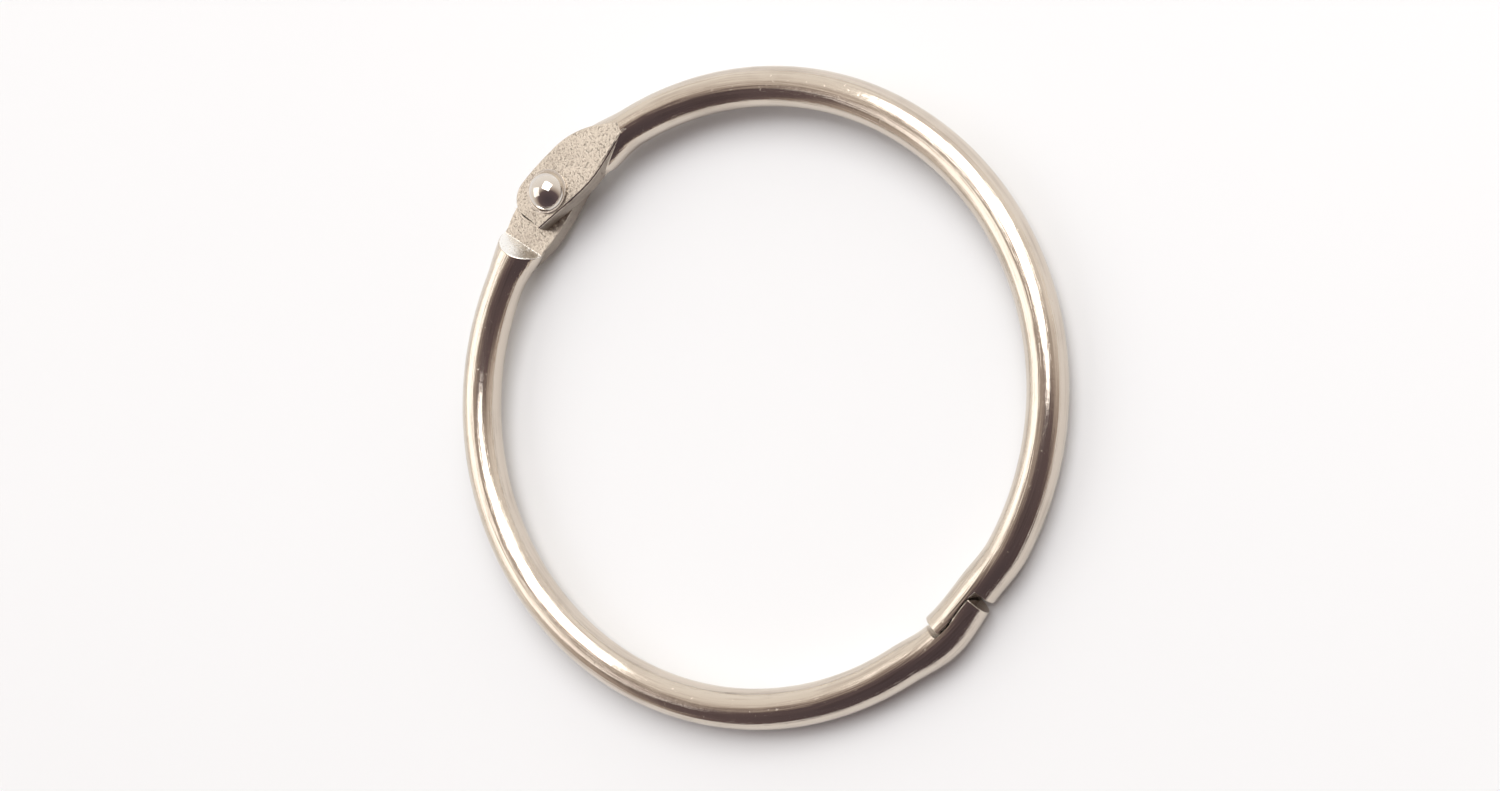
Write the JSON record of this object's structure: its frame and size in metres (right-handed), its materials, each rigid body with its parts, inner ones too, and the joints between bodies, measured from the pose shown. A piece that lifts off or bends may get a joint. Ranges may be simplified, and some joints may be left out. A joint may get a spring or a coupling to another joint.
{
  "type": "binder ring",
  "caption": "Hinged loose-leaf binder ring: two half rings of round nickel-plated wire on one domed rivet, with a lapped snap closure opposite the hinge.",
  "frame": {"origin": "centre of the ring, in the plane of its wire", "axes": "+Z along the ring's axis and the rivet, out of the domed rivet head's side; +X from the hinge towards the closure; +Y towards the half ring with the upper plate"},
  "size_m": [0.0583, 0.057, 0.0058],
  "materials": {
    "nickel_wire": "bright nickel plate on round steel wire, satin where the plates are coined",
    "nickel_rivet": "bright nickel plate on a domed steel rivet"
  },
  "bodies": {
    "fixed_half": {"lower_half_ring": "nickel_wire", "hinge_rivet": "nickel_rivet"},
    "swinging_half": {"upper_half_ring": "nickel_wire"}
  },
  "joints": [
    {"name": "ring_hinge", "type": "hinge", "parent": "fixed_half", "child": "swinging_half", "pos_m": [-0.02675, 0, 0], "axis": [0, 0, 1], "range_deg": [0, 140]}
  ]
}
